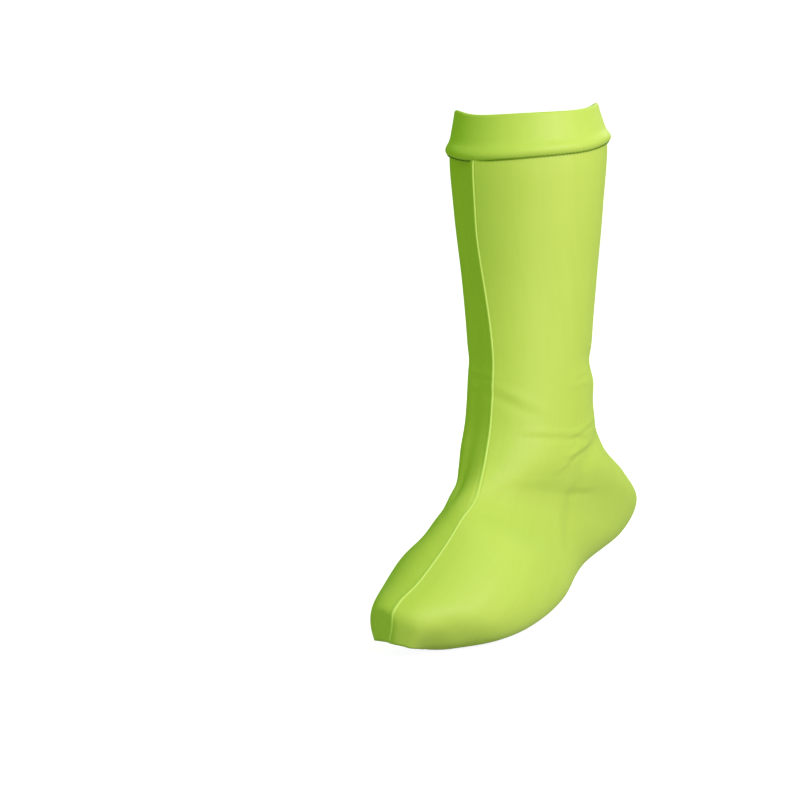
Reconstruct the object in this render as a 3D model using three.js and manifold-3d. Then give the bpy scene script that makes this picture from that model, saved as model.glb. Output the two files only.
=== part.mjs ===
// A stretch-fabric boot cover for a left foot, as it stands when worn: a closed foot, a shaft up to
// below the knee and a doubled elastic band round the top. Its two panels are sewn together down
// the front, over the toe, and along the sole, the heel and the calf.
//
// Millimetres, +Z up, toe towards -Y, outer side of the foot towards +X.
// The origin is on the inside of the sole, at the ball of the foot.

import * as THREE from 'three';
import { mergeVertices } from 'three/addons/utils/BufferGeometryUtils.js';
import Module from 'manifold-3d';

const wasm = await Module();
wasm.setup();

// Driving sizes
const coverHeight = 334;      // underside of the sole to the rim
const bandHeight = 28;        // rim to the lower edge of the band
const rimHalf = 49.5;         // half width of the opening at the rim
const bandHalf = 53.5;        // half width at the band's lower edge
const calfHalf = 50;          // half width of the calf
const shaftDepth = 52;        // half depth of the shaft at the band's lower edge, front to back
const ankleHeight = 165;      // narrowest place, above the underside
const ankleHalf = 40;         // half width there
const ankleFront = 54;        // shaft axis to the front there
const ankleBack = 42;         // shaft axis to the back there
const instepHeight = 100;     // where the shin turns into the instep
const instepReach = 82;       // how far forward it turns
const heelReach = 105;        // shaft axis to the back of the heel
const heelHeight = 48;        // fullest place of the heel, above the underside
const heelLift = 22;          // how high the heel's underside stands above the ball's
const heelHalf = 39;          // half width of the heel
const waistHalf = 35;         // half width between heel and ball
const ballHalf = 50;          // half width across the ball of the foot
const toeReach = 182;         // shaft axis to the front of the toe
const toeHeight = 37;         // height of the toe's blunt front
const toeHalf = 33;           // half width of the toe, just behind its front
const archRise = 4;           // how far the sole rises under the arch on the inner side
const seamDrift = 11;         // how far the front seam runs outside the middle on the instep
const soleFlat = 0.8;         // how far the foot's round underside is pressed flat
const seatReach = 95;         // shaft axis to the ball, where the foot bears on the sole

// Cloth and seams
const wall = 1.4;             // cloth thickness
const bandProud = 2.4;        // how far the band's lower edge stands out
const rimProud = 0.6;         // how far the band stands out at the rim
const bandLap = 6;            // how far the panels reach up inside the band
const seamWidth = 2.6;        // width of a seam's ridge
const seamProud = 0.5;        // how far a seam's ridge stands out
const gap = 0.3;              // clearance between neighbouring pieces

// How the cover sits on the leg
const bandTiltSide = 3.6;     // degrees, outer side of the band's lower edge up
const bandTiltBack = 2;       // degrees, back of the band's lower edge up
const rimTiltShare = 0.5;     // of both tilts, left at the rim
const bandSaddle = 4.4;       // how far the band rises into a peak at two opposite sides
const saddlePower = 8;        // how narrow those peaks are
const saddleMiddle = 34;      // degrees round from the front, midway between the peaks
const saddleSpread = 87;      // degrees from there to each peak
const shaftTurn = 12;         // degrees, front seam on the calf turned towards the inner side
const shaftLean = 9;          // sideways shift of the rim towards the inner side

// Fineness of the surface
const ringPoints = 36;
const stepsPerRow = 3;

// Sections from the rim down the shaft, fanned round the ankle and over the blunt toe. Each has its
// front or upper point and its back or lower point as y and z, its half widths on the outer and the
// inner side, the share of the way from the back point to the front point where it is widest, how
// square its two halves are, and how far its ridge lies towards the outer side.
const bandBottom = coverHeight - bandHeight;
const shaftRise = bandBottom - ankleHeight;
const sectionRows = [
  // rim, band and shaft
  { frontY: -0.92 * rimHalf, frontZ: coverHeight, backY: 0.9 * rimHalf, backZ: coverHeight,
    outer: rimHalf, inner: rimHalf, widest: 0.5, frontSquare: 2, backSquare: 2, ridge: 0 },
  { frontY: -shaftDepth, frontZ: bandBottom, backY: 1.01 * shaftDepth, backZ: bandBottom,
    outer: bandHalf, inner: bandHalf, widest: 0.5, frontSquare: 2, backSquare: 2, ridge: 0 },
  { frontY: -shaftDepth, frontZ: ankleHeight + 0.73 * shaftRise,
    backY: 0.95 * shaftDepth, backZ: ankleHeight + 0.73 * shaftRise,
    outer: calfHalf, inner: calfHalf, widest: 0.5, frontSquare: 2, backSquare: 2, ridge: 0 },
  { frontY: -0.94 * ankleFront, frontZ: ankleHeight + 0.38 * shaftRise,
    backY: 1.07 * ankleBack, backZ: ankleHeight + 0.38 * shaftRise,
    outer: 1.1 * ankleHalf, inner: 1.1 * ankleHalf, widest: 0.5, frontSquare: 2, backSquare: 2, ridge: 0 },
  { frontY: -ankleFront, frontZ: ankleHeight + 0.04 * shaftRise,
    backY: ankleBack, backZ: ankleHeight + 0.04 * shaftRise,
    outer: ankleHalf, inner: ankleHalf, widest: 0.5, frontSquare: 2, backSquare: 2, ridge: 0 },
  { frontY: -1.13 * ankleFront, frontZ: 0.8 * ankleHeight, backY: 1.03 * ankleBack, backZ: 0.79 * ankleHeight,
    outer: 1.02 * ankleHalf, inner: ankleHalf, widest: 0.5, frontSquare: 2, backSquare: 2, ridge: 0 },
  // fan round the ankle
  { frontY: -0.88 * instepReach, frontZ: 1.1 * instepHeight, backY: 0.54 * heelReach, backZ: 2.08 * heelHeight,
    outer: 1.05 * ankleHalf, inner: 1.03 * ankleHalf, widest: 0.5, frontSquare: 2, backSquare: 2.1, ridge: 0 },
  { frontY: -instepReach, frontZ: instepHeight, backY: 0.82 * heelReach, backZ: 1.54 * heelHeight,
    outer: 1.08 * heelHalf, inner: 1.08 * heelHalf, widest: 0.42, frontSquare: 2, backSquare: 2.4, ridge: 0 },
  { frontY: -1.12 * instepReach, frontZ: 0.94 * instepHeight, backY: heelReach, backZ: heelHeight,
    outer: 1.02 * heelHalf, inner: 1.02 * heelHalf, widest: 0.32, frontSquare: 2, backSquare: 2.8, ridge: 0 },
  { frontY: -1.23 * instepReach, frontZ: 0.89 * instepHeight, backY: 0.81 * heelReach, backZ: 1.2 * heelLift,
    outer: 1.08 * waistHalf, inner: 0.99 * waistHalf, widest: 0.33, frontSquare: 2, backSquare: 2.7, ridge: 0 },
  // foot
  { frontY: -0.6 * toeReach, frontZ: 0.84 * instepHeight, backY: 0.29 * heelReach, backZ: 0.6 * heelLift,
    outer: 1.08 * waistHalf, inner: 0.94 * waistHalf, widest: 0.4, frontSquare: 2, backSquare: 2.3,
    ridge: 0.05 * waistHalf },
  { frontY: -0.65 * toeReach, frontZ: 0.77 * instepHeight, backY: -0.17 * toeReach, backZ: 0.13 * heelLift,
    outer: ballHalf, inner: 0.82 * ballHalf, widest: 0.37, frontSquare: 2, backSquare: 2.6,
    ridge: 0.08 * ballHalf },
  { frontY: -0.74 * toeReach, frontZ: 1.72 * toeHeight, backY: -0.45 * toeReach, backZ: 0,
    outer: 1.1 * ballHalf, inner: 0.86 * ballHalf, widest: 0.37, frontSquare: 2, backSquare: 2.6,
    ridge: 0.06 * ballHalf },
  { frontY: -0.865 * toeReach, frontZ: 1.27 * toeHeight, backY: -0.64 * toeReach, backZ: 0,
    outer: 0.98 * ballHalf, inner: 0.74 * ballHalf, widest: 0.4, frontSquare: 2.1, backSquare: 2.5,
    ridge: 0.04 * ballHalf },
  { frontY: -0.965 * toeReach, frontZ: 1.02 * toeHeight, backY: -0.77 * toeReach, backZ: 0.02 * toeHeight,
    outer: 0.98 * toeHalf, inner: 0.86 * toeHalf, widest: 0.42, frontSquare: 2.3, backSquare: 2.4,
    ridge: 0.06 * toeHalf },
  // blunt front of the toe
  { frontY: -toeReach, frontZ: 0.79 * toeHeight, backY: -0.825 * toeReach, backZ: 0.06 * toeHeight,
    outer: 0.7 * toeHalf, inner: 0.7 * toeHalf, widest: 0.45, frontSquare: 2.4, backSquare: 2.3,
    ridge: 0.08 * toeHalf },
  { frontY: -0.997 * toeReach, frontZ: 0.34 * toeHeight, backY: -0.87 * toeReach, backZ: 0.14 * toeHeight,
    outer: 0.44 * toeHalf, inner: 0.5 * toeHalf, widest: 0.5, frontSquare: 2.3, backSquare: 2.2,
    ridge: 0.1 * toeHalf },
];

// Soft folds in the cloth: height of the middle above the underside, degrees round the shaft from the
// front towards the outer side, half length in degrees, rise of the fold per degree, depth (in is
// positive) and half width.
const foldRows = [
  { name: 'calf_foot_fold', height: ankleHeight, turn: 125, reach: 40, rise: -0.1,
    depth: 0.04 * ankleHalf, half: 0.2 * ankleHalf },
  { name: 'calf_foot_roll', height: 0.9 * ankleHeight, turn: 125, reach: 40, rise: -0.1,
    depth: -0.03 * ankleHalf, half: 0.2 * ankleHalf },
  { name: 'heel_fold', height: 2.2 * heelHeight, turn: 96, reach: 36, rise: 0.25,
    depth: 0.045 * ankleHalf, half: 0.2 * ankleHalf },
  { name: 'shin_fold', height: 1.02 * ankleHeight, turn: -38, reach: 34, rise: 0.1,
    depth: 0.02 * ankleHalf, half: 0.2 * ankleHalf },
];

function smoothStep(from, to, value) {
  const t = Math.min(1, Math.max(0, (value - from) / (to - from)));
  return t * t * (3 - 2 * t);
}

// Smooth curve through the section rows
function smoothRows(rows, steps) {
  const keys = Object.keys(rows[0]);
  const before = {};
  const after = {};
  for (const key of keys) {
    before[key] = 2 * rows[0][key] - rows[1][key];
    after[key] = 2 * rows.at(-1)[key] - rows.at(-2)[key];
  }
  const all = [before, ...rows, after];
  const out = [];
  for (let i = 0; i < rows.length - 1; i++) {
    for (let k = 0; k < steps; k++) {
      const t = k / steps;
      const row = {};
      for (const key of keys) {
        const [a, b, c, d] = [all[i][key], all[i + 1][key], all[i + 2][key], all[i + 3][key]];
        const bend = (2 * a - 5 * b + 4 * c - d) * t * t + (3 * b - a - 3 * c + d) * t ** 3;
        row[key] = b + 0.5 * ((c - a) * t + bend);
      }
      out.push(row);
    }
  }
  out.push({ ...rows.at(-1) });
  return out;
}

// One ring of points, from the front or upper point round by the outer side
function sectionRing(row) {
  const points = [];
  for (let i = 0; i < ringPoints; i++) {
    const angle = 2 * Math.PI * i / ringPoints;
    const c = Math.cos(angle);
    const s = Math.sin(angle);
    const square = c > 0 ? row.frontSquare : row.backSquare;
    const room = c > 0 ? 1 - row.widest : row.widest;
    const share = row.widest + room * Math.sign(c) * Math.abs(c) ** (2 / square);
    const half = s > 0 ? row.outer : row.inner;
    const across = half * Math.sign(s) * Math.abs(s) ** (2 / square) + share * row.ridge;
    const y = row.backY + share * (row.frontY - row.backY);
    const z = row.backZ + share * (row.frontZ - row.backZ);
    points.push(new THREE.Vector3(across, y, z));
  }
  return points;
}

// Height of the ground below a point of the sole: flat, and raised under the arch
function soleFloor(point) {
  const inArch = smoothStep(0, -0.16 * toeReach, point.y)
    * smoothStep(-0.5 * toeReach, -0.34 * toeReach, point.y)
    * smoothStep(0.1 * ballHalf, 0.9 * ballHalf, -point.x);
  return archRise * inArch;
}

// How far the front seam runs to the outer side of the middle
function seamShift(y, z) {
  const spread = y > -1.35 * instepReach ? 0.42 * instepReach : 0.34 * toeReach;
  const away = (y + 1.35 * instepReach) / spread;
  return seamDrift * Math.exp(-away * away) * smoothStep(0.1 * instepHeight, 0.45 * instepHeight, z);
}

function pressSole(point) {
  const lowered = point.z - soleFlat * smoothStep(0.6 * instepHeight, 0, point.z);
  point.z = Math.max(lowered, soleFloor(point));
}

function foldDepth(point) {
  const turn = THREE.MathUtils.radToDeg(Math.atan2(point.x, -point.y));
  let depth = 0;
  for (const fold of foldRows) {
    const away = (turn - fold.turn) / fold.reach;
    const off = (point.z - fold.height - fold.rise * (turn - fold.turn)) / fold.half;
    depth += fold.depth * Math.exp(-away * away - off * off);
  }
  return depth;
}

// The outer surface of the cover as rings with their outward directions
const formRings = smoothRows(sectionRows, stepsPerRow).map(sectionRing);
formRings.forEach((ring) => ring.forEach(pressSole));
const tip = new THREE.Vector3();
formRings.at(-1).forEach((point) => tip.addScaledVector(point, 1 / ringPoints));
const tipNormal = new THREE.Vector3(0, -0.4, -0.92);
const formNormals = formRings.map((ring, j) => ring.map((point, i) => {
  const down = (j + 1 < formRings.length ? formRings[j + 1][i] : tip).clone().sub(formRings[Math.max(0, j - 1)][i]);
  const round = ring[(i + 1) % ringPoints].clone().sub(ring[(i + ringPoints - 1) % ringPoints]);
  return down.cross(round).normalize();
}));
formRings.forEach((ring, j) => ring.forEach((point, i) => {
  point.addScaledVector(formNormals[j][i], -foldDepth(point));
}));

// Closed solid between rings, with its ends closed at the middle of the first ring and at a last point.
// It is drawn with the front seam straightened, so that the seams can be cut along one plane.
function solidFromRings(rings, lastPoint) {
  const firstPoint = new THREE.Vector3();
  rings[0].forEach((point) => firstPoint.addScaledVector(point, 1 / ringPoints));
  const points = [...rings.flat(), firstPoint, lastPoint];
  const first = points.length - 2;
  const last = points.length - 1;
  const faces = [];
  for (let i = 0; i < ringPoints; i++) {
    const next = (i + 1) % ringPoints;
    faces.push(first, i, next);
    for (let j = 0; j + 1 < rings.length; j++) {
      const a = j * ringPoints + i;
      const b = j * ringPoints + next;
      const c = a + ringPoints;
      const d = b + ringPoints;
      faces.push(a, c, b, b, c, d);
    }
    const base = (rings.length - 1) * ringPoints;
    faces.push(last, base + next, base + i);
  }
  const vertProperties = new Float32Array(points.flatMap((p) => [p.x - seamShift(p.y, p.z), p.y, p.z]));
  return new wasm.Manifold(new wasm.Mesh({ numProp: 3, vertProperties, triVerts: new Uint32Array(faces) }));
}

// The form moved outwards by a distance that may change with the height, drawn up past the rim
function formSolid(distanceAt, pastRim) {
  const sole = distanceAt(0);
  const rings = formRings.map((ring, j) => ring.map((point, i) => {
    const moved = point.clone().addScaledVector(formNormals[j][i], distanceAt(point.z));
    if (sole > 0) {
      moved.z = Math.max(moved.z, soleFloor(point));
    }
    return moved;
  }));
  rings.unshift(rings[0].map((p) => new THREE.Vector3(p.x, p.y, p.z + pastRim)));
  return solidFromRings(rings, tip.clone().addScaledVector(tipNormal, distanceAt(tip.z)));
}

// Solid from a three.js geometry
function solidFromGeometry(geometry) {
  geometry.deleteAttribute('normal');
  geometry.deleteAttribute('uv');
  const merged = mergeVertices(geometry, 1e-4);
  const vertProperties = new Float32Array(merged.attributes.position.array);
  const triVerts = new Uint32Array(merged.index.array);
  return new wasm.Manifold(new wasm.Mesh({ numProp: 3, vertProperties, triVerts }));
}

function block(minX, maxX, minY, maxY, minZ, maxZ) {
  const geometry = new THREE.BoxGeometry(maxX - minX, maxY - minY, maxZ - minZ);
  geometry.translate((minX + maxX) / 2, (minY + maxY) / 2, (minZ + maxZ) / 2);
  return solidFromGeometry(geometry);
}

// Prism across the whole width over an outline in y and z
function sidePrism(outline) {
  const shape = new THREE.Shape(outline.map(([y, z]) => new THREE.Vector2(y, z)));
  const geometry = new THREE.ExtrudeGeometry(shape, { depth: 2 * far, bevelEnabled: false });
  const turned = new THREE.Matrix4().makeBasis(
    new THREE.Vector3(0, 1, 0),
    new THREE.Vector3(0, 0, 1),
    new THREE.Vector3(1, 0, 0),
  );
  geometry.applyMatrix4(turned);
  geometry.translate(-far, 0, 0);
  return solidFromGeometry(geometry);
}

const far = coverHeight + toeReach + 2 * heelReach;
const seamHalf = seamWidth / 2;

// Cloth shells
const innerVoid = formSolid(() => -wall, 4 * wall);
const clothShell = formSolid(() => 0, 0).subtract(innerVoid);
const seamShell = formSolid(() => seamProud, 0).subtract(innerVoid);

// Two side panels, each with its upper edge inside the band
const panelTop = bandBottom + bandLap - gap;
const below = (height) => block(-far, far, -far, far, -far, height);
const lateralPanel = clothShell
  .intersect(below(panelTop))
  .intersect(block(seamHalf + gap, far, -far, far, -far, far));
const medialPanel = clothShell
  .intersect(below(panelTop))
  .intersect(block(-far, -seamHalf - gap, -far, far, -far, far));

// Seams: one down the front and over the toe, one along the sole, the heel and the calf. They part
// at the lower front edge of the toe.
const middleHeight = 0.6 * instepHeight;
const seamStrip = seamShell
  .intersect(below(bandBottom - gap))
  .intersect(block(-seamHalf, seamHalf, -far, far, -far, far));
const frontRegion = sidePrism([[0, middleHeight], [0, far], [-far, far], [-far, tip.z], [tip.y, tip.z]]);
const backRegion = sidePrism([[0, middleHeight - gap], [tip.y, tip.z - gap], [-far, tip.z - gap],
  [-far, -far], [far, -far], [far, far], [gap, far], [gap, middleHeight]]);
const frontSeam = seamStrip.intersect(frontRegion);
const backSeam = seamStrip.intersect(backRegion);

// Band, proud of the panels and thickest at its lower edge, with a rebate that takes their upper edges
function proudAt(height) {
  const t = smoothStep(bandBottom, bandBottom + 0.9 * bandHeight, height);
  return bandProud + (rimProud - bandProud) * t;
}
const bandOuter = formSolid((height) => (height < bandBottom - 1 ? bandProud : proudAt(height)), 0);
const rebate = formSolid(() => gap, 0).intersect(below(bandBottom + bandLap));
const topBand = bandOuter
  .subtract(innerVoid)
  .subtract(rebate)
  .intersect(block(-far, far, -far, far, bandBottom, far));

// The worn shape: band tilted, shaft turned about its axis and leaning, all set down on the sole
function wear(point) {
  const turn = THREE.MathUtils.degToRad(-shaftTurn)
    * smoothStep(ankleHeight, ankleHeight + 0.7 * shaftRise, point.z);
  const across = point.x + seamShift(point.y, point.z);
  const turned = new THREE.Vector3(
    across * Math.cos(turn) - point.y * Math.sin(turn),
    across * Math.sin(turn) + point.y * Math.cos(turn),
    point.z,
  );
  const tilt = smoothStep(ankleHeight + 0.6 * shaftRise, bandBottom, point.z);
  const tiltShare = 1 + (rimTiltShare - 1) * smoothStep(bandBottom, coverHeight, point.z);
  const round = Math.atan2(turned.x, -turned.y) - THREE.MathUtils.degToRad(saddleMiddle);
  const fromMiddle = Math.acos(Math.cos(round));
  const peak = Math.max(0, Math.cos(fromMiddle - THREE.MathUtils.degToRad(saddleSpread))) ** saddlePower;
  turned.z += tilt * (tiltShare * turned.x * Math.tan(THREE.MathUtils.degToRad(bandTiltSide))
    + tiltShare * turned.y * Math.tan(THREE.MathUtils.degToRad(bandTiltBack))
    + bandSaddle * peak);
  turned.x -= shaftLean * Math.max(0, point.z - instepHeight) / (coverHeight - instepHeight);
  turned.y += seatReach;
  turned.z -= wall;
  return turned;
}

function pieceMesh(name, solid, color, roughness) {
  const mesh = solid.getMesh();
  const positions = [];
  for (let i = 0; i < mesh.vertProperties.length; i += mesh.numProp) {
    const worn = wear(new THREE.Vector3(...mesh.vertProperties.slice(i, i + 3)));
    positions.push(worn.x, worn.y, worn.z);
  }
  const geometry = new THREE.BufferGeometry();
  geometry.setAttribute('position', new THREE.Float32BufferAttribute(positions, 3));
  geometry.setIndex([...mesh.triVerts]);
  geometry.computeVertexNormals();
  const material = new THREE.MeshStandardMaterial({ color, roughness, metalness: 0 });
  const piece = new THREE.Mesh(geometry, material);
  piece.name = name;
  return piece;
}

const cover = new THREE.Group();
cover.name = 'boot_cover';
cover.add(pieceMesh('lateral_panel', lateralPanel, 0xb4cc46, 0.6));
cover.add(pieceMesh('medial_panel', medialPanel, 0xb4cc46, 0.6));
cover.add(pieceMesh('top_band', topBand, 0xc0d858, 0.65));
cover.add(pieceMesh('front_seam', frontSeam, 0xa8c23c, 0.7));
cover.add(pieceMesh('back_seam', backSeam, 0xa8c23c, 0.7));

export default cover;
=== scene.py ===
import math

import bmesh
import bpy
import numpy as np
from mathutils import Matrix, Vector


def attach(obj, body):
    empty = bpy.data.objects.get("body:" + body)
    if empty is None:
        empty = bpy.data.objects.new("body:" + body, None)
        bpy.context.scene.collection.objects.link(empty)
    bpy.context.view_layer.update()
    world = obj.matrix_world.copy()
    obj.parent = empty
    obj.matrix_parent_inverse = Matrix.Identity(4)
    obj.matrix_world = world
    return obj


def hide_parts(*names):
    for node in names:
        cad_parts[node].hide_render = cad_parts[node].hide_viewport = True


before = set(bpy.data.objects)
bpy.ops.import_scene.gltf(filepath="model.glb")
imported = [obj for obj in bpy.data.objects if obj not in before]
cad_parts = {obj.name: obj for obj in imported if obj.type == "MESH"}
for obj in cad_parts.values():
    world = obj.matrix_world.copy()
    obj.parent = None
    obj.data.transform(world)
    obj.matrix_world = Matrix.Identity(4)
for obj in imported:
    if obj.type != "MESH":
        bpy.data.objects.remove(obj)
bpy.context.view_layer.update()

mm = 0.001

# the CAD model's sizes, in metres and degrees; only the rim's two peaks sit a few degrees from its own
size = dict(
    coverHeight=0.334, bandHeight=0.028, rimHalf=0.0495, bandHalf=0.0535, calfHalf=0.050,
    shaftDepth=0.052, ankleHeight=0.165, ankleHalf=0.040, ankleFront=0.054, ankleBack=0.042,
    instepHeight=0.100, instepReach=0.082, heelReach=0.105, heelHeight=0.048, heelLift=0.022,
    heelHalf=0.039, waistHalf=0.035, ballHalf=0.050, toeReach=0.182, toeHeight=0.037,
    toeHalf=0.033, archRise=0.004, seamDrift=0.011, soleFlat=0.0008, seatReach=0.095,
    wall=0.0014, bandTiltSide=3.6, bandTiltBack=2, rimTiltShare=0.5, bandSaddle=0.0044,
    saddleSharp=8, saddleMiddle=30, saddleSpread=85, shaftTurn=12, shaftLean=0.009,
)
bandBottom = size["coverHeight"] - size["bandHeight"]
shaftRise = bandBottom - size["ankleHeight"]


def sectionRows():
    # each row: frontY, frontZ, backY, backZ, outer, inner, widest, frontSquare, backSquare, ridge
    s = size
    calf = s["ankleHeight"] + 0.73 * shaftRise
    shaft = s["ankleHeight"] + 0.38 * shaftRise
    ankle = s["ankleHeight"] + 0.04 * shaftRise
    return np.array([
        (-0.92 * s["rimHalf"], s["coverHeight"], 0.9 * s["rimHalf"], s["coverHeight"],
         s["rimHalf"], s["rimHalf"], 0.5, 2, 2, 0),
        (-s["shaftDepth"], bandBottom, 1.01 * s["shaftDepth"], bandBottom,
         s["bandHalf"], s["bandHalf"], 0.5, 2, 2, 0),
        (-s["shaftDepth"], calf, 0.95 * s["shaftDepth"], calf,
         s["calfHalf"], s["calfHalf"], 0.5, 2, 2, 0),
        (-0.94 * s["ankleFront"], shaft, 1.07 * s["ankleBack"], shaft,
         1.1 * s["ankleHalf"], 1.1 * s["ankleHalf"], 0.5, 2, 2, 0),
        (-s["ankleFront"], ankle, s["ankleBack"], ankle,
         s["ankleHalf"], s["ankleHalf"], 0.5, 2, 2, 0),
        (-1.13 * s["ankleFront"], 0.8 * s["ankleHeight"], 1.03 * s["ankleBack"], 0.79 * s["ankleHeight"],
         1.02 * s["ankleHalf"], s["ankleHalf"], 0.5, 2, 2, 0),
        (-0.88 * s["instepReach"], 1.1 * s["instepHeight"], 0.54 * s["heelReach"], 2.08 * s["heelHeight"],
         1.05 * s["ankleHalf"], 1.03 * s["ankleHalf"], 0.5, 2, 2.1, 0),
        (-s["instepReach"], s["instepHeight"], 0.82 * s["heelReach"], 1.54 * s["heelHeight"],
         1.08 * s["heelHalf"], 1.08 * s["heelHalf"], 0.42, 2, 2.4, 0),
        (-1.12 * s["instepReach"], 0.94 * s["instepHeight"], s["heelReach"], s["heelHeight"],
         1.02 * s["heelHalf"], 1.02 * s["heelHalf"], 0.32, 2, 2.8, 0),
        (-1.23 * s["instepReach"], 0.89 * s["instepHeight"], 0.81 * s["heelReach"], 1.2 * s["heelLift"],
         1.08 * s["waistHalf"], 0.99 * s["waistHalf"], 0.33, 2, 2.7, 0),
        (-0.6 * s["toeReach"], 0.84 * s["instepHeight"], 0.29 * s["heelReach"], 0.6 * s["heelLift"],
         1.08 * s["waistHalf"], 0.94 * s["waistHalf"], 0.4, 2, 2.3, 0.05 * s["waistHalf"]),
        (-0.65 * s["toeReach"], 0.77 * s["instepHeight"], -0.17 * s["toeReach"], 0.13 * s["heelLift"],
         s["ballHalf"], 0.82 * s["ballHalf"], 0.37, 2, 2.6, 0.08 * s["ballHalf"]),
        (-0.74 * s["toeReach"], 1.72 * s["toeHeight"], -0.45 * s["toeReach"], 0,
         1.1 * s["ballHalf"], 0.86 * s["ballHalf"], 0.37, 2, 2.6, 0.06 * s["ballHalf"]),
        (-0.865 * s["toeReach"], 1.27 * s["toeHeight"], -0.64 * s["toeReach"], 0,
         0.98 * s["ballHalf"], 0.74 * s["ballHalf"], 0.4, 2.1, 2.5, 0.04 * s["ballHalf"]),
        (-0.965 * s["toeReach"], 1.02 * s["toeHeight"], -0.77 * s["toeReach"], 0.02 * s["toeHeight"],
         0.98 * s["toeHalf"], 0.86 * s["toeHalf"], 0.42, 2.3, 2.4, 0.06 * s["toeHalf"]),
        (-s["toeReach"], 0.79 * s["toeHeight"], -0.825 * s["toeReach"], 0.06 * s["toeHeight"],
         0.7 * s["toeHalf"], 0.7 * s["toeHalf"], 0.45, 2.4, 2.3, 0.08 * s["toeHalf"]),
        (-0.997 * s["toeReach"], 0.34 * s["toeHeight"], -0.87 * s["toeReach"], 0.14 * s["toeHeight"],
         0.44 * s["toeHalf"], 0.5 * s["toeHalf"], 0.5, 2.3, 2.2, 0.1 * s["toeHalf"]),
    ], dtype=float)


def smoothStep(low, high, value):
    t = np.clip((value - low) / (high - low), 0, 1)
    return t * t * (3 - 2 * t)


def rowAt(rows, place):
    padded = np.vstack([2 * rows[0] - rows[1], rows, 2 * rows[-1] - rows[-2]])
    i = min(int(place), len(rows) - 2)
    t = place - i
    a, b, c, d = padded[i:i + 4]
    return b + 0.5 * ((c - a) * t + (2 * a - 5 * b + 4 * c - d) * t ** 2 + (3 * b - a - 3 * c + d) * t ** 3)


def seamShift(y, z):
    turn = 1.35 * size["instepReach"]
    spread = np.where(y > -turn, 0.42 * size["instepReach"], 0.34 * size["toeReach"])
    high = smoothStep(0.1 * size["instepHeight"], 0.45 * size["instepHeight"], z)
    return size["seamDrift"] * np.exp(-((y + turn) / spread) ** 2) * high


def ringPoints(row, angle):
    frontY, frontZ, backY, backZ, outer, inner, widest, frontSquare, backSquare, ridge = row
    c, s = np.cos(angle), np.sin(angle)
    square = np.where(c > 0, frontSquare, backSquare)
    room = np.where(c > 0, 1 - widest, widest)
    share = widest + room * np.sign(c) * np.abs(c) ** (2 / square)
    x = np.where(s > 0, outer, inner) * np.sign(s) * np.abs(s) ** (2 / square) + share * ridge
    return np.stack([x, backY + share * (frontY - backY), backZ + share * (frontZ - backZ)], axis=-1)


def formGrid(ringStep, halfCount, perRow=40, perHalf=500, halvings=30):
    # rings evenly spaced along the cover, each from the front seam round the outer side
    rows = sectionRows()
    places = np.linspace(0, len(rows) - 1, perRow * (len(rows) - 1) + 1)
    path = np.array([rowAt(rows, place)[:4] for place in places])
    steps = np.abs(np.diff(path, axis=0))
    longest = np.maximum(np.hypot(steps[:, 0], steps[:, 1]), np.hypot(steps[:, 2], steps[:, 3]))
    length = np.concatenate([[0], np.cumsum(longest)])
    ringCount = int(length[-1] / ringStep)
    picked = np.interp(np.linspace(0, length[-1], ringCount), length, places)
    grid = []
    for place in picked:
        row = rowAt(rows, place)
        low, high = -0.8, 0.8
        for _ in range(halvings):
            middle = (low + high) / 2
            point = ringPoints(row, np.array(middle))
            if point[0] > seamShift(point[1], point[2]):
                high = middle
            else:
                low = middle
        halves = []
        for span in ((middle, math.pi), (-math.pi, middle)):
            dense = ringPoints(row, np.linspace(span[0], span[1], perHalf))
            run = np.concatenate([[0], np.cumsum(np.linalg.norm(np.diff(dense, axis=0), axis=1))])
            wanted = np.linspace(0, run[-1], halfCount + 1)[:-1]
            halves.append(np.stack([np.interp(wanted, run, dense[:, k]) for k in range(3)], axis=-1))
        grid.append(np.concatenate(halves))
    grid = np.array(grid)
    return grid, np.linspace(0, length[-1], ringCount)


def soleFloor(points):
    x, y = points[..., 0], points[..., 1]
    reach, ball = size["toeReach"], size["ballHalf"]
    inArch = (smoothStep(0, 1, y / (-0.16 * reach)) * smoothStep(-0.5 * reach, -0.34 * reach, y)
              * smoothStep(0.1 * ball, 0.9 * ball, -x))
    return size["archRise"] * inArch


def pressSole(points):
    low = smoothStep(0, 1, 1 - points[..., 2] / (0.6 * size["instepHeight"]))
    points[..., 2] = np.maximum(points[..., 2] - size["soleFlat"] * low, soleFloor(points))


def gridNormals(points):
    down = np.gradient(points, axis=0)
    around = np.roll(points, -1, axis=1) - np.roll(points, 1, axis=1)
    normal = np.cross(down, around)
    return normal / np.maximum(np.linalg.norm(normal, axis=-1, keepdims=True), 1e-12)


# soft folds in metres and degrees: height above the underside, place round from the front, reach round,
# rise per degree, depth, half width
softFolds = [
    (0.165, 125, 40, -0.0001, 0.0016, 0.008),
    (0.1485, 125, 40, -0.0001, -0.0012, 0.008),
    (0.1056, 96, 36, 0.00025, 0.0018, 0.008),
    (0.1683, -38, 34, 0.0001, 0.0008, 0.008),
]


def softFoldDepth(points):
    turn = np.degrees(np.arctan2(points[..., 0], -points[..., 1]))
    depth = np.zeros(points.shape[:-1])
    for height, middle, reach, rise, deep, half in softFolds:
        away = (turn - middle) / reach
        off = (points[..., 2] - height - rise * (turn - middle)) / half
        depth += deep * np.exp(-away ** 2 - off ** 2)
    return depth


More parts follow.
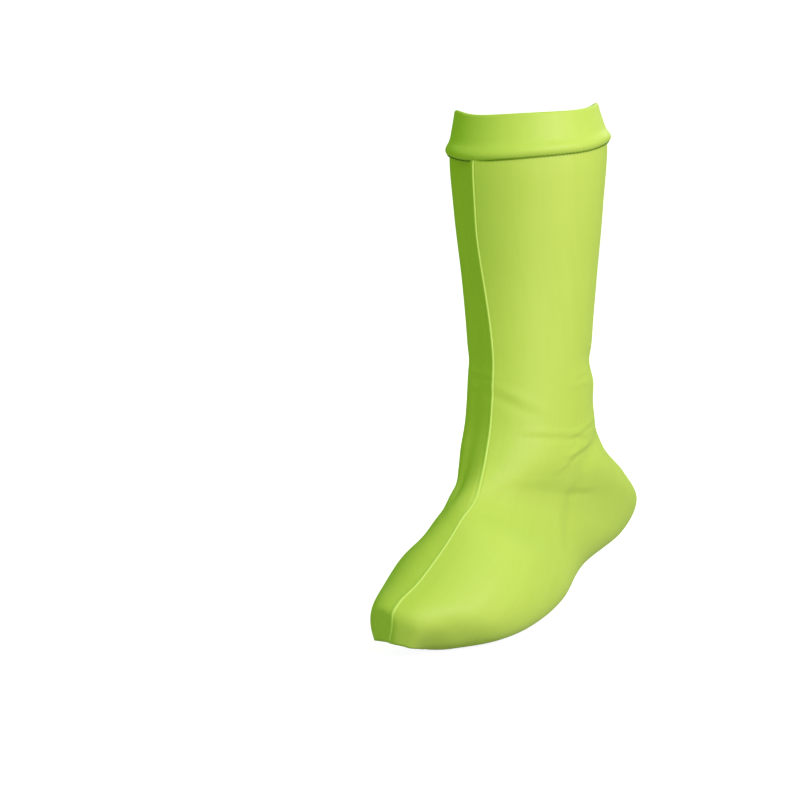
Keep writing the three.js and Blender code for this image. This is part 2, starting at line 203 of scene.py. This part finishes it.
# creases of the worn cloth in mm: where each starts and ends, how high one lip stands over the other, and
# how wide it is; the high lip is the upper one, or the front one where a crease runs upright
creases = [
    ((28, 49, 122), (41.5, 80, 117.5), 0.8, 3.0),
    ((41.3, 76, 118.5), (39.5, 99, 122), 0.8, 2.4),
    ((41.9, 74, 105), (41, 93, 108), 1.1, 2.8),
    ((39.5, 66, 99), (41.9, 76, 105.5), 0.8, 3.0),
    ((37, 78, 79), (38.5, 95, 76.5), 0.7, 4.0),
    ((35, 68, 55), (36, 75, 80), 1.2, 8.0),
    ((38.5, 82, 150), (38, 95, 150), 0.6, 2.0),
    ((38, 89, 157), (36.5, 99, 158.5), 0.5, 1.8),
    ((-27, 50, 159), (-5, 40, 159.5), 0.5, 2.0),
    ((-25, 47, 149.5), (-20, 44, 149.5), 0.5, 2.0),
    ((0, 38, 151), (13, 41, 145.5), 0.6, 4.5),
    ((13, 41, 145), (24, 48, 139), 0.5, 4.5),
    ((30, -30, 30), (38, 20, 40), 0.4, 7.0),
]


def creaseDepth(points, normals, fade=0.25, skin=0.02, peak=1.2):
    # each crease is a step across its line that dies away at both ends and on the far side of the cover
    depth = np.zeros(points.shape[:-1])
    for start, end, high, half in creases:
        start, end = np.array(start) * mm, np.array(end) * mm
        middle, run = (start + end) / 2, end - start
        length = np.linalg.norm(run)
        run = run / length
        nearest = np.argmin(((points - middle) ** 2).sum(axis=-1))
        facing = normals.reshape(-1, 3)[nearest]
        across = np.cross(facing, run)
        if across[2] < -0.5 or (abs(across[2]) <= 0.5 and across[1] > 0):
            across = -across
        away = points - middle
        beyond = np.maximum(0, np.abs(away @ run) - length / 2) / (fade * length + half * mm)
        step = away @ across / (half * mm)
        off = away @ facing / skin
        depth += high * mm * peak * step * np.exp(-step ** 2 - beyond ** 2 - off ** 4)
    return depth


# places where the worn cloth sits off the plain form, in mm: where, how wide, how far out
hollows = [
    ((-21, -18, 62), 15, -2.4),
    ((-20, 8, 84), 10, 1.2),
    ((44, 8, 30), 14, -1.2),
]


def hollowDepth(points):
    depth = np.zeros(points.shape[:-1])
    for centre, wide, out in hollows:
        away = ((points - np.array(centre) * mm) ** 2).sum(axis=-1)
        depth += out * mm * np.exp(-away / (wide * mm) ** 2)
    return depth


# low down the toe leans to the inner side, and its outer corner is a little off the floor
toe = dict(
    lean=0.0035, leanHigh=0.026, leanLow=0.006, leanBack=-0.062, leanFront=-0.078,
    corner=(0.018, -0.076, 0.003), cornerLift=0.0008, cornerReach=0.011, faceEdge=0.0006,
)

# flat faces of the blunt toe in mm: a point of each and the way it faces
toeFaces = [
    ((13.5, -84, 18), (0.24, -0.94, -0.22)),
    ((-4, -84.9, 31), (-0.29, -0.95, -0.08)),
]


def pressToe(points):
    low = smoothStep(toe["leanHigh"], toe["leanLow"], points[..., 2])
    low = low * smoothStep(toe["leanBack"], toe["leanFront"], points[..., 1])
    points[..., 0] -= toe["lean"] * low
    fromCorner = ((points - np.array(toe["corner"])) ** 2).sum(axis=-1)
    points[..., 2] += toe["cornerLift"] * np.exp(-fromCorner / toe["cornerReach"] ** 2)
    edge = toe["faceEdge"]
    for place, facing in toeFaces:
        facing = np.array(facing) / np.linalg.norm(facing)
        over = (points - np.array(place) * mm) @ facing
        rounded = edge * np.log1p(np.exp(np.minimum(over, 10 * edge) / edge))
        points -= np.where(over > 10 * edge, over, rounded)[..., None] * facing


def wear(points):
    s = size
    x, y, z = points[..., 0], points[..., 1], points[..., 2]
    turn = -math.radians(s["shaftTurn"]) * smoothStep(s["ankleHeight"], s["ankleHeight"] + 0.7 * shaftRise, z)
    turnedX = x * np.cos(turn) - y * np.sin(turn)
    turnedY = x * np.sin(turn) + y * np.cos(turn)
    tilt = smoothStep(s["ankleHeight"] + 0.6 * shaftRise, bandBottom, z)
    fromMiddle = np.arctan2(turnedX, -turnedY) - math.radians(s["saddleMiddle"])
    fromMiddle = np.abs(np.angle(np.exp(1j * fromMiddle)))
    peak = np.maximum(0, np.cos(fromMiddle - math.radians(s["saddleSpread"]))) ** s["saddleSharp"]
    tiltShare = 1 + (s["rimTiltShare"] - 1) * smoothStep(bandBottom, s["coverHeight"], z)
    lifted = z + tilt * (tiltShare * turnedX * math.tan(math.radians(s["bandTiltSide"]))
                         + tiltShare * turnedY * math.tan(math.radians(s["bandTiltBack"]))
                         + s["bandSaddle"] * peak)
    lean = s["shaftLean"] * np.maximum(0, z - s["instepHeight"]) / (s["coverHeight"] - s["instepHeight"])
    return np.stack([turnedX - lean, turnedY + s["seatReach"], lifted - s["wall"]], axis=-1)


def finishMesh(name, bm, material, thickness=0):
    mesh = bpy.data.meshes.new(name)
    bm.to_mesh(mesh)
    bm.free()
    piece = bpy.data.objects.new(name, mesh)
    bpy.context.collection.objects.link(piece)
    mesh.materials.append(material)
    mesh.polygons.foreach_set("use_smooth", [True] * len(mesh.polygons))
    if thickness:
        solid = piece.modifiers.new("thickness", "SOLIDIFY")
        solid.thickness = thickness
        solid.offset = 0
        solid.use_even_offset = False
    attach(piece, "root")
    return piece


def gridMesh(points, weave, closed=False):
    # a bmesh grid laid over rows of points; weave says where each point is in the flat cloth
    rowCount, columnCount = points.shape[:2]
    bm = bmesh.new()
    layer = bm.verts.layers.float_vector.new("weave")
    verts = bmesh.ops.create_grid(bm, x_segments=columnCount - 1, y_segments=rowCount - 1, size=1)["verts"]
    for vert in verts:
        i = round((vert.co.y + 1) / 2 * (rowCount - 1))
        j = round((vert.co.x + 1) / 2 * (columnCount - 1))
        vert.co = points[i, j]
        vert[layer] = weave[i, j]
    if closed:
        bmesh.ops.remove_doubles(bm, verts=bm.verts, dist=1e-6)
    return bm


print("form")
ringStep = 0.0017
halfCount = 78
grid, along = formGrid(ringStep, halfCount)
pressSole(grid)
normals = gridNormals(grid)
grid -= normals * softFoldDepth(grid)[..., None]
ringCount, pointCount = grid.shape[:2]
frontColumn, backColumn = 0, halfCount

# distance round the cover from the front seam, and from the back one
spans = np.linalg.norm(np.roll(grid, -1, axis=1) - grid, axis=-1)
around = np.concatenate([np.zeros((ringCount, 1)), np.cumsum(spans, axis=1)[:, :-1]], axis=1)
wholeRound = spans.sum(axis=1, keepdims=True)
fromFront = np.minimum(around, wholeRound - around)
fromBack = np.abs(around - around[:, [backColumn]])

# the shin stands out along the front seam, with a flatter face on its inner side
shin = dict(
    crest=0.0018, outerSpread=0.009, turn=math.radians(23), faceEnd=0.030,
    lowEnd=0.066, highEnd=0.096, footCrest=0.0006, footSpread=0.004,
)
heelCrest = dict(high=0.0006, spread=0.006, lowEnd=0.004, highEnd=0.03)
isInner = np.arange(pointCount) > halfCount
onShaft = smoothStep(shin["lowEnd"], shin["highEnd"], grid[..., 2])
radius = wholeRound / (2 * math.pi)
face = shin["crest"] - math.tan(shin["turn"]) * fromFront + fromFront ** 2 / (2 * radius)
face *= 1 - smoothStep(0.6 * shin["faceEnd"], 1.3 * shin["faceEnd"], fromFront)
crest = np.where(isInner, face, shin["crest"] * np.exp(-fromFront / shin["outerSpread"]))
lift = crest * onShaft + shin["footCrest"] * np.exp(-fromFront / shin["footSpread"]) * (1 - onShaft)
lift += (heelCrest["high"] * np.exp(-fromBack / heelCrest["spread"])
         * smoothStep(heelCrest["lowEnd"], heelCrest["highEnd"], grid[..., 2]))
smooth = grid.copy()
grid += normals * lift[..., None]
worn = wear(grid)
pressToe(worn)
wornNormals = gridNormals(worn)
worn += wornNormals * (creaseDepth(worn, wornNormals) + hollowDepth(worn))[..., None]
wornNormals = gridNormals(worn)


# how strongly each part of the knit shows; streaks are stretched along the wales
knitLook = dict(
    rib=0.7, loop=0.15, streak=0.6, courseShare=0.8,
    streakScale=(420, 12, 1), wideScale=(90, 5, 1), cloudScale=22,
    streakTone=0.35, wideTone=0.4, cloudTone=0.5, ribTone=0.25, toneLow=0.35, toneHigh=1.15,
    roughness=0.5, roughnessCloud=0.12,
)


def makeCloth():
    group = bpy.data.node_groups.new("stretchKnit", "ShaderNodeTree")
    face = group.interface
    face.new_socket("Lit", in_out="INPUT", socket_type="NodeSocketColor")
    face.new_socket("Deep", in_out="INPUT", socket_type="NodeSocketColor")
    face.new_socket("Pitch", in_out="INPUT", socket_type="NodeSocketFloat")
    face.new_socket("Color", in_out="OUTPUT", socket_type="NodeSocketColor")
    face.new_socket("Roughness", in_out="OUTPUT", socket_type="NodeSocketFloat")
    face.new_socket("Height", in_out="OUTPUT", socket_type="NodeSocketFloat")
    nodes, links = group.nodes, group.links
    inward, outward = nodes.new("NodeGroupInput"), nodes.new("NodeGroupOutput")
    weave = nodes.new("ShaderNodeAttribute")
    weave.attribute_name = "weave"
    place = nodes.new("ShaderNodeTexCoord")
    parts = nodes.new("ShaderNodeSeparateXYZ")
    links.new(weave.outputs["Vector"], parts.inputs[0])

    def maths(operation, first, second=None, third=None):
        node = nodes.new("ShaderNodeMath")
        node.operation = operation
        for socket, value in zip(node.inputs, (first, second, third)):
            if value is None:
                continue
            if isinstance(value, (int, float)):
                socket.default_value = value
            else:
                links.new(value, socket)
        return node.outputs[0]

    def noise(vector, scale, detail, stretch=(1, 1, 1)):
        stretched = nodes.new("ShaderNodeVectorMath")
        stretched.operation = "MULTIPLY"
        stretched.inputs[1].default_value = stretch
        links.new(vector, stretched.inputs[0])
        node = nodes.new("ShaderNodeTexNoise")
        node.inputs["Scale"].default_value = scale
        node.inputs["Detail"].default_value = detail
        links.new(stretched.outputs[0], node.inputs["Vector"])
        return node.outputs["Fac"]

    # wales run down the cloth, and each course is a row of small Vs across them
    look = knitLook
    wale = maths("DIVIDE", parts.outputs[0], inward.outputs["Pitch"])
    course = maths("DIVIDE", parts.outputs[1], maths("MULTIPLY", inward.outputs["Pitch"], look["courseShare"]))
    rib = maths("ABSOLUTE", maths("SINE", maths("MULTIPLY", wale, math.pi)))
    slant = maths("PINGPONG", wale, 0.5)
    loop = maths("SINE", maths("MULTIPLY", maths("ADD", course, slant), 2 * math.pi))
    streak = noise(weave.outputs["Vector"], 1, 3, look["streakScale"])
    wide = noise(weave.outputs["Vector"], 1, 2, look["wideScale"])
    cloud = noise(place.outputs["Object"], look["cloudScale"], 3)
    knit = maths("ADD", maths("MULTIPLY", rib, look["rib"]), maths("MULTIPLY", loop, look["loop"]))
    links.new(maths("ADD", knit, maths("MULTIPLY", streak, look["streak"])), outward.inputs["Height"])
    cloudy = maths("ADD", maths("MULTIPLY", wide, look["wideTone"]), maths("MULTIPLY", cloud, look["cloudTone"]))
    tone = maths("ADD", maths("MULTIPLY", streak, look["streakTone"]), cloudy)
    tone = maths("ADD", tone, maths("MULTIPLY", rib, look["ribTone"]))
    ramp = nodes.new("ShaderNodeMapRange")
    ramp.inputs["From Min"].default_value = look["toneLow"]
    ramp.inputs["From Max"].default_value = look["toneHigh"]
    links.new(tone, ramp.inputs["Value"])
    mix = nodes.new("ShaderNodeMix")
    mix.data_type = "RGBA"
    links.new(ramp.outputs[0], mix.inputs["Factor"])
    links.new(inward.outputs["Deep"], mix.inputs["A"])
    links.new(inward.outputs["Lit"], mix.inputs["B"])
    links.new(mix.outputs["Result"], outward.inputs["Color"])
    uneven = maths("MULTIPLY", cloud, look["roughnessCloud"])
    links.new(maths("ADD", look["roughness"], uneven), outward.inputs["Roughness"])
    return group


stretchKnit = makeCloth()


def clothMaterial(name, lit, deep, pitch=0.0007, bump=0.00006, sheen=0.06):
    material = bpy.data.materials.new(name)
    material.use_nodes = True
    nodes, links = material.node_tree.nodes, material.node_tree.links
    shader = nodes["Principled BSDF"]
    knit = nodes.new("ShaderNodeGroup")
    knit.node_tree = stretchKnit
    knit.inputs["Lit"].default_value = (*lit, 1)
    knit.inputs["Deep"].default_value = (*deep, 1)
    knit.inputs["Pitch"].default_value = pitch
    relief = nodes.new("ShaderNodeBump")
    relief.inputs["Strength"].default_value = 0.6
    relief.inputs["Distance"].default_value = bump
    links.new(knit.outputs["Height"], relief.inputs["Height"])
    links.new(relief.outputs["Normal"], shader.inputs["Normal"])
    links.new(knit.outputs["Color"], shader.inputs["Base Color"])
    links.new(knit.outputs["Roughness"], shader.inputs["Roughness"])
    shader.inputs["Sheen Weight"].default_value = sheen
    shader.inputs["Sheen Roughness"].default_value = 0.5
    shader.inputs["Specular IOR Level"].default_value = 0.35
    return material


panelCloth = clothMaterial("panelCloth", (0.52, 0.69, 0.125), (0.47, 0.63, 0.095))
bandCloth = clothMaterial("bandCloth", (0.53, 0.71, 0.125), (0.47, 0.65, 0.095))
# the seam cloth is paler than the panels: a painted highlight along the raised seam line
seamCloth = clothMaterial("seamCloth", (0.56, 0.75, 0.17), (0.52, 0.71, 0.14), pitch=0.0006)
# the stitches are a real zigzag of deep green thread; their dark colour is also painted shade for the shadow gap
# under the band's welt
threadCloth = clothMaterial("threadCloth", (0.16, 0.33, 0.006), (0.13, 0.28, 0.005), pitch=0.0005)

print("panels")
panel = dict(thickness=0.0009, underBand=0.005, flat=(0.30, 0.36), area=0.066)
topRow = int(np.searchsorted(-grid[:, 0, 2], -(bandBottom + panel["underBand"])))
weave = np.stack([around, np.repeat(along[:, None], pointCount, axis=1), np.zeros_like(around)], axis=-1)


def panelPiece(name, columns, node):
    bm = gridMesh(worn[topRow:, columns], weave[topRow:, columns])
    piece = finishMesh(name, bm, panelCloth, thickness=panel["thickness"])
    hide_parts(node)


outerColumns = list(range(0, halfCount + 1))
innerColumns = list(range(halfCount, pointCount)) + [0]
panelPiece("lateralPanel", outerColumns, "lateral_panel")
panelPiece("medialPanel", innerColumns, "medial_panel")

print("band")
band = dict(
    thickness=0.00075,
    # height above the band's lower edge and distance out from the form, in mm, over the rim and down inside
    profile=[(0, 0.7), (0.8, 1.6), (2, 2.6), (3.5, 3.1), (5.2, 2.9), (7, 2.1), (9, 1.1), (12, 0.5),
             (17, 0.35), (22, 0.35), (26, 0.4), (27.1, 0.4), (27.6, 0.25), (27.9, -0.1), (27.95, -0.45),
             (27.9, -0.8), (27.6, -1.15), (27.1, -1.3), (24, -1.35), (18, -1.35), (10, -1.35), (4, -1.35),
             (-2, -1.35)],
    profileCount=72,
    # the ring of the form that gives its length round
    row=5,
    flat=(0.33, 0.062),
)
ringHeights = grid[:, 0, 2]


def formAt(height, out):
    # a ring of the unworn form at a height, moved out from it
    order = np.arange(ringCount)
    shaftRings = ringHeights > size["ankleHeight"]
    j = np.interp(-height, -ringHeights[shaftRings], order[shaftRings])
    low = min(int(j), ringCount - 2)
    t = j - low
    ring = smooth[low] * (1 - t) + smooth[low + 1] * t
    normal = normals[low] * (1 - t) + normals[low + 1] * t
    ring = ring + normal * out
    ring[:, 2] = height
    return ring


def smoothProfile(points, count, samples=400):
    # evenly spaced points on a smooth curve through the profile
    points = np.array(points, dtype=float) * mm
    dense = np.array([rowAt(points, place) for place in np.linspace(0, len(points) - 1, samples)])
    run = np.concatenate([[0], np.cumsum(np.linalg.norm(np.diff(dense, axis=0), axis=1))])
    wanted = np.linspace(0, run[-1], count)
    return np.stack([np.interp(wanted, run, dense[:, k]) for k in range(2)], axis=-1), wanted


profile, profileRun = smoothProfile(band["profile"], band["profileCount"])
bandRings = np.array([wear(formAt(bandBottom + height, out)) for height, out in profile])
bandRings = np.concatenate([bandRings, bandRings[:, :1]], axis=1)
bandWeave = np.zeros(bandRings.shape)
bandWeave[..., 0] = np.concatenate([around[band["row"]], wholeRound[band["row"]]])
bandWeave[..., 1] = profileRun[:, None]
bandMesh = gridMesh(bandRings, bandWeave, closed=True)
topBand = finishMesh("topBand", bandMesh, bandCloth, thickness=band["thickness"])
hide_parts("top_band")

print("seams")
seam = dict(
    half=0.0014, toeHalf=0.0019, proud=0.0005, sunk=0.0003, innerFoot=-1.3, lean=0.35,
    sides=24, underBand=0.001,
)


def seamPiece(name, column, firstRow, lastRow, node):
    rows = np.arange(firstRow, lastRow + 1)
    spine = worn[rows, column]
    forward = np.gradient(spine, axis=0)
    forward /= np.linalg.norm(forward, axis=-1, keepdims=True)
    out = wornNormals[rows, column]
    side = np.cross(forward, out)
    side /= np.linalg.norm(side, axis=-1, keepdims=True)
    turns = np.linspace(0, 2 * math.pi, seam["sides"] + 1)
    ends = np.minimum(1, np.minimum(rows - firstRow, lastRow - rows) / 2 + 0.3)
    toeEnd = size["seatReach"] - size["toeReach"]
    nearToe = smoothStep(toeEnd + 0.1 * size["toeReach"], toeEnd, spine[:, 1])
    half = seam["half"] + (seam["toeHalf"] - seam["half"]) * nearToe
    # the allowance lies to the inner side, so the ridge rises slowly there and drops quickly on the outer
    place = -np.sin(turns)
    innerRise = smoothStep(seam["innerFoot"], seam["lean"], place)
    outerRise = smoothStep(-1, -seam["lean"], -place)
    rise = np.where(place < seam["lean"], innerRise, outerRise)
    high = np.where(np.cos(turns) > 0, rise * (seam["proud"] + seam["sunk"]), np.cos(turns) * seam["sunk"])
    high += panel["thickness"] / 2 - seam["sunk"]
    rings = (spine[:, None] + side[:, None] * np.sin(turns)[None, :, None] * half[:, None, None]
             + out[:, None] * high[None, :, None] * ends[:, None, None])
    places = np.zeros(rings.shape)
    places[..., 0] = turns * seam["half"]
    places[..., 1] = along[rows][:, None]
    bm = gridMesh(rings, places, closed=True)
    bmesh.ops.holes_fill(bm, edges=[e for e in bm.edges if e.is_boundary])
    bmesh.ops.recalc_face_normals(bm, faces=bm.faces)
    piece = finishMesh(name, bm, seamCloth)
    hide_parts(node)


seamTop = int(np.searchsorted(-grid[:, 0, 2], -(bandBottom + seam["underBand"])))
seamPiece("frontSeam", frontColumn, seamTop, ringCount - 1, "front_seam")
seamPiece("backSeam", backColumn, seamTop, ringCount - 1, "back_seam")


def threadPiece(name, points, radius, cyclic):
    curve = bpy.data.curves.new(name, "CURVE")
    curve.dimensions = "3D"
    curve.bevel_depth = radius
    curve.bevel_resolution = 1
    spline = curve.splines.new("POLY")
    spline.points.add(len(points) - 1)
    for target, point in zip(spline.points, points):
        target.co = (*point, 1)
    spline.use_cyclic_u = cyclic
    piece = bpy.data.objects.new(name, curve)
    bpy.context.collection.objects.link(piece)
    curve.materials.append(threadCloth)
    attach(piece, "root")


print("stitches")
# the zigzag runs between two lines, each with its height above the band's edge and its distance out, in mm
stitch = dict(pitch=0.0024, radius=0.00024, high=(0.5, 1.95), low=(-0.9, 0.65))
bandLength = float(wholeRound[band["row"]][0])
stitchCount = int(bandLength / stitch["pitch"]) * 2
upper = wear(formAt(bandBottom + stitch["high"][0] * mm, stitch["high"][1] * mm))
lower = wear(formAt(bandBottom + stitch["low"][0] * mm, stitch["low"][1] * mm))
ringPlaces = np.linspace(0, 1, stitchCount, endpoint=False)
columns = np.linspace(0, 1, pointCount + 1)
zigzag = []
for k, place in enumerate(ringPlaces):
    ring = upper if k % 2 else lower
    ring = np.concatenate([ring, ring[:1]])
    zigzag.append([np.interp(place, columns, ring[:, axis]) for axis in range(3)])
threadPiece("bandStitch", zigzag, stitch["radius"], True)

print("stage")
floor = dict(
    near=-2.6, depth=2.2, bend=0.8, high=3.0, wide=4.0, gap=0.0002, turn=math.radians(35),
    colour=(0.5, 0.52, 0.42, 1), roughness=0.9, glow=(0.95, 0.93, 0.99, 1), glowStrength=0.98,
)


def stageSurface():
    # floor that sweeps up into a wall behind
    bm = bmesh.new()
    depth, bend = floor["depth"], floor["bend"]
    path = [(depth + bend * math.sin(a), bend - bend * math.cos(a)) for a in np.linspace(0, math.pi / 2, 24)]
    path = [(floor["near"], 0)] + path + [(depth + bend, floor["high"])]
    verts = bmesh.ops.create_grid(bm, x_segments=1, y_segments=len(path) - 1, size=1)["verts"]
    for vert in verts:
        i = round((vert.co.y + 1) / 2 * (len(path) - 1))
        vert.co = (vert.co.x * floor["wide"], path[i][0], path[i][1] - size["wall"] - floor["gap"])
    mesh = bpy.data.meshes.new("studioFloor")
    bm.to_mesh(mesh)
    bm.free()
    mesh.polygons.foreach_set("use_smooth", [True] * len(mesh.polygons))
    surface = bpy.data.objects.new("studioFloor", mesh)
    bpy.context.collection.objects.link(surface)
    surface.rotation_euler[2] = floor["turn"]
    material = bpy.data.materials.new("studioFloor")
    material.use_nodes = True
    shader = material.node_tree.nodes["Principled BSDF"]
    shader.inputs["Base Color"].default_value = floor["colour"]
    shader.inputs["Roughness"].default_value = floor["roughness"]
    shader.inputs["Specular IOR Level"].default_value = 0.1
    # the floor looks paler to the camera than the light it gives the cover
    ray = material.node_tree.nodes.new("ShaderNodeLightPath")
    seen = material.node_tree.nodes.new("ShaderNodeMath")
    seen.operation = "MULTIPLY"
    seen.inputs[1].default_value = floor["glowStrength"]
    material.node_tree.links.new(ray.outputs["Is Camera Ray"], seen.inputs[0])
    material.node_tree.links.new(seen.outputs[0], shader.inputs["Emission Strength"])
    shader.inputs["Emission Color"].default_value = floor["glow"]
    mesh.materials.append(material)


stageSurface()


# where each light stands as seen from the middle of the cover, in degrees and metres
lightAim = (0, 0.06, 0.17)
lights = dict(
    keyLight=dict(azimuth=68, elevation=30, distance=1.6, width=0.45, power=19.5, colour=(1, 0.74, 1.12)),
    softLight=dict(azimuth=40, elevation=58, distance=1.8, width=0.9, power=3.5, colour=(1, 0.80, 1)),
    backLight=dict(azimuth=178, elevation=32, distance=1.8, width=0.9, power=9, colour=(1, 0.86, 0.9)),
)


def areaLight(name, azimuth, elevation, distance, width, power, colour):
    data = bpy.data.lights.new(name, "AREA")
    data.shape = "DISK"
    data.size = width
    data.energy = power
    data.color = colour
    lamp = bpy.data.objects.new(name, data)
    bpy.context.collection.objects.link(lamp)
    a, e = math.radians(azimuth), math.radians(elevation)
    away = Vector((math.sin(a) * math.cos(e), -math.cos(a) * math.cos(e), math.sin(e)))
    lamp.location = Vector(lightAim) + away * distance
    lamp.rotation_mode = "QUATERNION"
    lamp.rotation_quaternion = away.to_track_quat("Z", "Y")


for name, light in lights.items():
    areaLight(name, **light)

bpy.context.scene.view_settings.view_transform = "Standard"
world = bpy.data.worlds.new("studio")
world.use_nodes = True
bpy.context.scene.world = world
tree = world.node_tree
fill = tree.nodes["Background"]
fill.inputs["Color"].default_value = (0.54, 1, 0.02, 1)
fill.inputs["Strength"].default_value = 0.56
# beyond the floor the camera sees the same white
beyond = tree.nodes.new("ShaderNodeBackground")
beyond.inputs["Color"].default_value = (1, 1, 1, 1)
seenBy = tree.nodes.new("ShaderNodeLightPath")
either = tree.nodes.new("ShaderNodeMixShader")
tree.links.new(seenBy.outputs["Is Camera Ray"], either.inputs[0])
tree.links.new(fill.outputs[0], either.inputs[1])
tree.links.new(beyond.outputs[0], either.inputs[2])
tree.links.new(either.outputs[0], tree.nodes["World Output"].inputs["Surface"])


photoView = dict(place=(0.5422, -0.8384, 0.3310), azimuth=35.25, down=10.2, roll=-0.91, lens=70.56)


def makeCamera():
    data = bpy.data.cameras.new("photoCamera")
    data.sensor_width = 36
    data.lens = photoView["lens"]
    data.dof.use_dof = False
    data.clip_start, data.clip_end = 0.01, 50
    camera = bpy.data.objects.new("photoCamera", data)
    bpy.context.collection.objects.link(camera)
    azimuth, down, roll = (math.radians(photoView[turn]) for turn in ("azimuth", "down", "roll"))
    level = math.cos(down)
    forward = Vector((-math.sin(azimuth) * level, math.cos(azimuth) * level, -math.sin(down)))
    camera.location = photoView["place"]
    camera.rotation_mode = "QUATERNION"
    facing = forward.to_track_quat("-Z", "Y")
    camera.rotation_quaternion = facing @ Matrix.Rotation(roll, 3, "Z").to_quaternion()
    bpy.context.scene.camera = camera


makeCamera()
